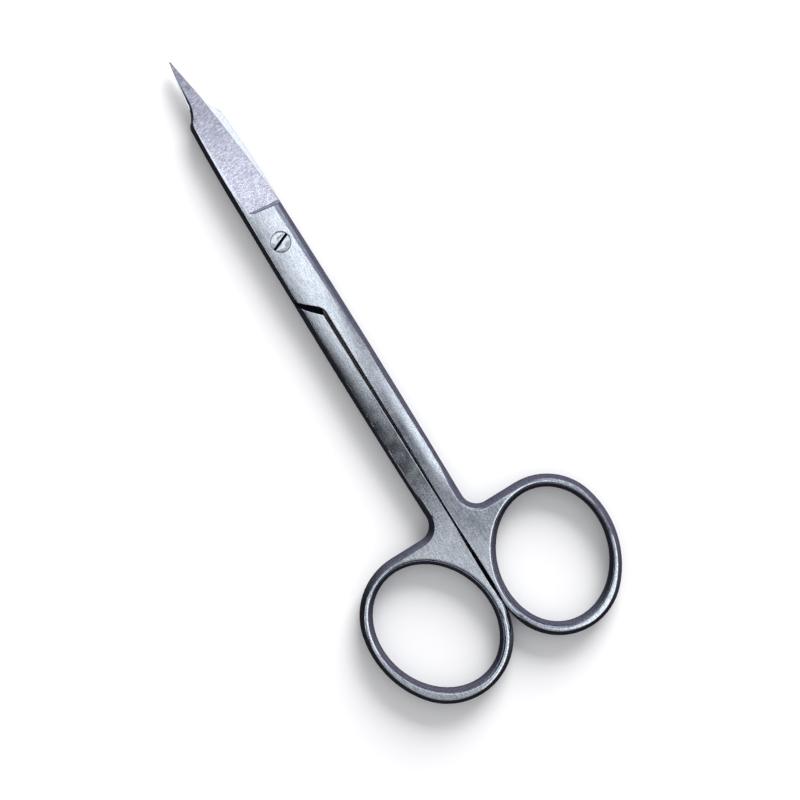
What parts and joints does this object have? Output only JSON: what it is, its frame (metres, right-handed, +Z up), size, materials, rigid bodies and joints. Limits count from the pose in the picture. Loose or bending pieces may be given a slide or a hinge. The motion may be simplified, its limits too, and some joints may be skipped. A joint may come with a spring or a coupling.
{
  "type": "surgical scissors",
  "caption": "Slim straight surgical scissors with finely pointed blades, a slotted pivot screw, long parallel shanks and oval finger rings, lying closed.",
  "frame": {"origin": "on the pivot screw's axis, at the plane the closed scissors lie on", "axes": "+X from the pivot to the tips along the closed scissors, +Z up along the pivot axis towards the screw's head, +Y to the lower half's ring"},
  "size_m": [0.1299, 0.0511, 0.0042],
  "materials": {
    "satin_steel": "satin-brushed stainless steel",
    "screw_steel": "fine-turned stainless steel"
  },
  "bodies": {
    "lower": {"lower_half": "satin_steel", "pivot_screw": "screw_steel"},
    "upper": {"upper_half": "satin_steel"}
  },
  "joints": [
    {"name": "pivot", "type": "hinge", "parent": "lower", "child": "upper", "pos_m": [0, 0, 0.0021], "axis": [0, 0, 1], "range_deg": [0, 135]}
  ]
}
